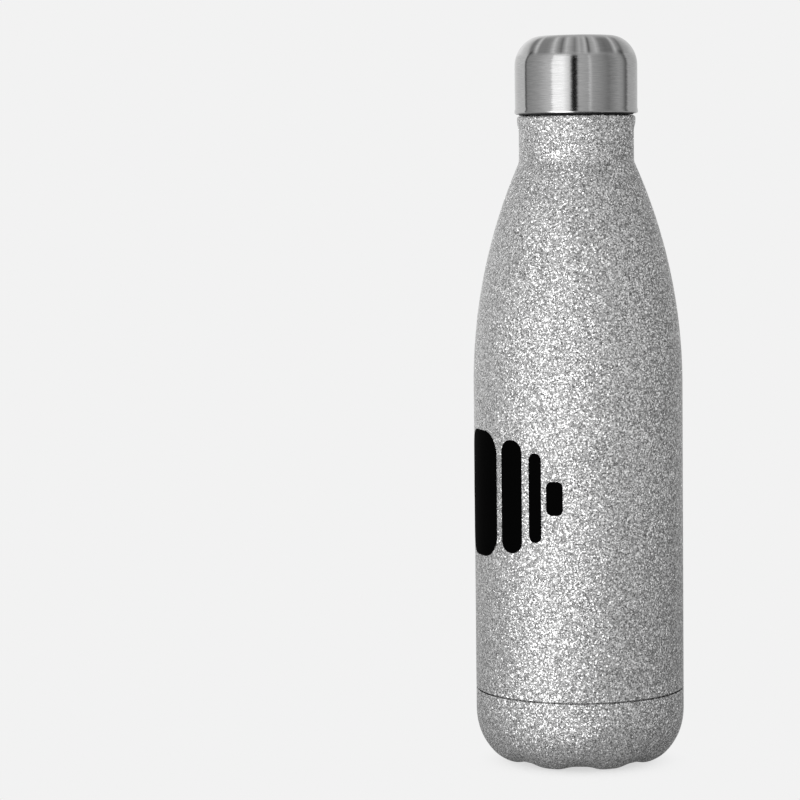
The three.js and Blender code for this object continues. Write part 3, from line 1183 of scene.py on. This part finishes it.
@dataclass
class Studio:
    """The floor, the cards and lamps around the bottle, and the camera. Metres and degrees."""

    lens: float = 128.7
    distance: float = 1.0015
    height: float = 0.2062
    pan: float = 3.572
    pitch: float = 4.53
    roll: float = -0.66
    strength: float = 1.3
    backdrop: float = 0.888
    floor_r: float = 0.8
    paper: float = 0.5
    paper_glow: float = 0.6
    bounce: float = 0.5
    bounce_glow: float = 0.12
    pool_glow: float = 4.0
    zenith: float = 0.5
    cards_top: float = 28
    zenith_from: float = 38
    aim_z: float = 0.11
    shadow_from: float = 0.014
    shadow_to: float = 0.04
    pool_from: float = 0.05
    pool_to: float = 0.12

    def build(self) -> None:
        """Builds the camera, the light and the floor."""
        self.camera()
        self.light()
        self.floor()
        bpy.context.scene.view_settings.view_transform = "Standard"

    def camera(self) -> None:
        """Sets the camera in front, at the neck's height, looking slightly down."""
        data = bpy.data.cameras.new("camera")
        data.lens = self.lens
        data.clip_start = 0.05
        data.clip_end = 50
        camera = bpy.data.objects.new("camera", data)
        pan = Matrix.Rotation(math.radians(self.pan), 4, "Z")
        tilt = Matrix.Rotation(math.radians(90 - self.pitch), 4, "X")
        roll = Matrix.Rotation(math.radians(self.roll), 4, "Z")
        stand = Matrix.Translation((0, -self.distance, self.height))
        camera.matrix_world = stand @ pan @ tilt @ roll
        bpy.context.scene.collection.objects.link(camera)
        bpy.context.scene.camera = camera

    @staticmethod
    def cards() -> list[Point]:
        """The cards that stand around the bottle.

        Returns:
            Pairs of direction and glow. Directions run from behind on the left, past the front
            at 0, to behind on the right.
        """
        return [
            (-180, 0.67), (-112, 0.67), (-110, 0.08), (-107.5, 0.08), (-105, 0.3), (-75, 0.44),
            (-47, 0.74), (-44.5, 1.36), (-24, 1.38), (-11.5, 0.84), (-7.5, 0.01), (2, 0.01),
            (4.5, 0.54), (24, 0.46), (25.3, 0.72), (27.8, 0.72), (30, 0.46), (64, 0.23),
            (88, 0.42), (97, 0.38), (107, 0.14), (109, 0.14), (115, 0.48), (180, 0.52),
        ]

    def light(self) -> None:
        """Makes the light that surrounds the bottle, brightest in front on the left."""
        world = bpy.data.worlds.new("studio")
        bpy.context.scene.world = world
        g = Graph(world, "Generated")
        direction = g.parts(g.coords)
        front = g.math("MULTIPLY", direction["Y"], -1)
        azimuth = g.math("ARCTAN2", direction["X"], front)
        around = g.math("MULTIPLY_ADD", azimuth, 1 / FULL_TURN, 0.5)
        cards = g.ramp(around, [(angle / 360 + 0.5, glow) for angle, glow in self.cards()])
        low, high = (math.sin(math.radians(a)) for a in (self.cards_top, self.zenith_from))
        above = g.rise(direction["Z"], low, high)
        dome = g.mixed(above, cards, grey(self.zenith))
        lamp = g.add("ShaderNodeBackground", {"Color": dome, "Strength": self.strength})
        sheet = g.add("ShaderNodeBackground", {"Color": grey(self.backdrop)})
        to_camera = g.add("ShaderNodeLightPath").outputs["Is Camera Ray"]
        seen = g.add("ShaderNodeMixShader", {0: to_camera, 1: lamp.outputs[0], 2: sheet.outputs[0]})
        g.tree.links.new(seen.outputs[0], g.tree.nodes["World Output"].inputs["Surface"])

    def light_coat(self, pieces: Sequence[Piece]) -> None:
        """Adds the lamps that only the coat catches, a metre from the bottle's axis.

        Args:
            pieces: The coated pieces.
        """
        coated = bpy.data.collections.new("coated")
        for piece in pieces:
            coated.objects.link(piece)
        for name, azimuth, height, size, watts, mirrored in self.lamps():
            data = bpy.data.lights.new(name, "AREA")
            data.size = size
            data.energy = watts
            lamp = bpy.data.objects.new(name, data)
            angle = math.radians(azimuth)
            lamp.location = (math.sin(angle), -math.cos(angle), height)
            aim = Vector((0, 0, self.aim_z)) - lamp.location
            lamp.rotation_euler = aim.to_track_quat("-Z", "Y").to_euler()
            lamp.visible_camera = False
            lamp.visible_glossy = mirrored
            lamp.visible_diffuse = not mirrored
            lamp.light_linking.receiver_collection = coated
            bpy.context.scene.collection.objects.link(lamp)

    @staticmethod
    def lamps() -> list[tuple[str, float, float, float, float, bool]]:
        """The lamps of the coat.

        Returns:
            For each: name, direction, height, size, power, and whether it is only mirrored in the
            flakes instead of only lighting the paint.
        """
        return [
            ("key", -18, 0.14, 0.5, 54, False),
            ("fill", 24, 0.2, 0.7, 2.5, False),
            ("back_right", 158, 0.2, 0.6, 42, False),
            ("back_left", -158, 0.2, 0.6, 42, False),
            ("left_box", -100, 0.3, 1.1, 1.1, True),
            ("right_box", 72, 0.3, 1.0, 2.7, True),
            ("top_box", -30, 0.6, 0.8, 5.0, True),
        ]

    def floor(self) -> None:
        """Lays a round pale floor that melts into the backdrop away from the bottle.

        It bounces light, and a bright pool in front on the left glows upwards unseen.
        """
        bm = bmesh.new()
        bmesh.ops.create_circle(bm, cap_ends=True, radius=self.floor_r, segments=96)
        mesh = bpy.data.meshes.new("floor")
        bm.to_mesh(mesh)
        bm.free()
        floor = bpy.data.objects.new("floor", mesh)
        bpy.context.scene.collection.objects.link(floor)
        material = bpy.data.materials.new("pale_floor")
        g = Graph(material)
        g.tree.nodes.remove(g.shader)
        away_from_foot = g.length(g.vector("ADD", g.coords, (0, 0.01, 0)))
        far = g.rise(away_from_foot, self.shadow_from, self.shadow_to)
        paper = g.add("ShaderNodeBsdfDiffuse", {"Color": grey(self.paper)})
        glow = g.add("ShaderNodeEmission", {"Strength": self.paper_glow})
        near = g.add("ShaderNodeAddShader", {0: paper.outputs[0], 1: glow.outputs[0]})
        away = g.add("ShaderNodeEmission", {"Strength": self.backdrop})
        seen = g.add("ShaderNodeMixShader", {0: far, 1: near.outputs[0], 2: away.outputs[0]})
        bounce = g.add("ShaderNodeBsdfDiffuse", {"Color": grey(self.bounce)})
        spot = g.parts(g.coords)
        facing = g.math("ARCTAN2", spot["X"], g.math("MULTIPLY", spot["Y"], -1))
        around = g.math("MULTIPLY_ADD", facing, 1 / FULL_TURN, 0.5)
        pool_side = g.ramp(around, [(0.33, 0), (0.38, 1), (0.44, 1), (0.49, 0)])
        pool_edge = g.rise(g.length(g.coords), self.pool_from, self.pool_to)
        pool = g.math("MULTIPLY", pool_side, pool_edge)
        lift_strength = g.math("MULTIPLY_ADD", pool, self.pool_glow, self.bounce_glow)
        lift = g.add("ShaderNodeEmission", {"Strength": lift_strength})
        unseen = g.add("ShaderNodeAddShader", {0: bounce.outputs[0], 1: lift.outputs[0]})
        to_camera = g.add("ShaderNodeLightPath").outputs["Is Camera Ray"]
        sides = {0: to_camera, 1: unseen.outputs[0], 2: seen.outputs[0]}
        both = g.add("ShaderNodeMixShader", sides)
        g.tree.links.new(both.outputs[0], g.tree.nodes["Material Output"].inputs["Surface"])
        floor.data.materials.append(material)


def main() -> None:
    """Builds the studio and the bottle around the frame, and reports each piece."""
    logging.basicConfig(level=logging.INFO, format="%(name)s: %(message)s")
    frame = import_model()
    studio = Studio()
    studio.build()
    palette = Palette()
    studio.light_coat(OuterBody(palette).build())
    DrinkFlask(palette).build()
    ScrewLid(palette).build()
    BarbellPrint(palette).build()
    dress_hidden(frame["nodes"], palette)


if __name__ == "__main__":
    main()
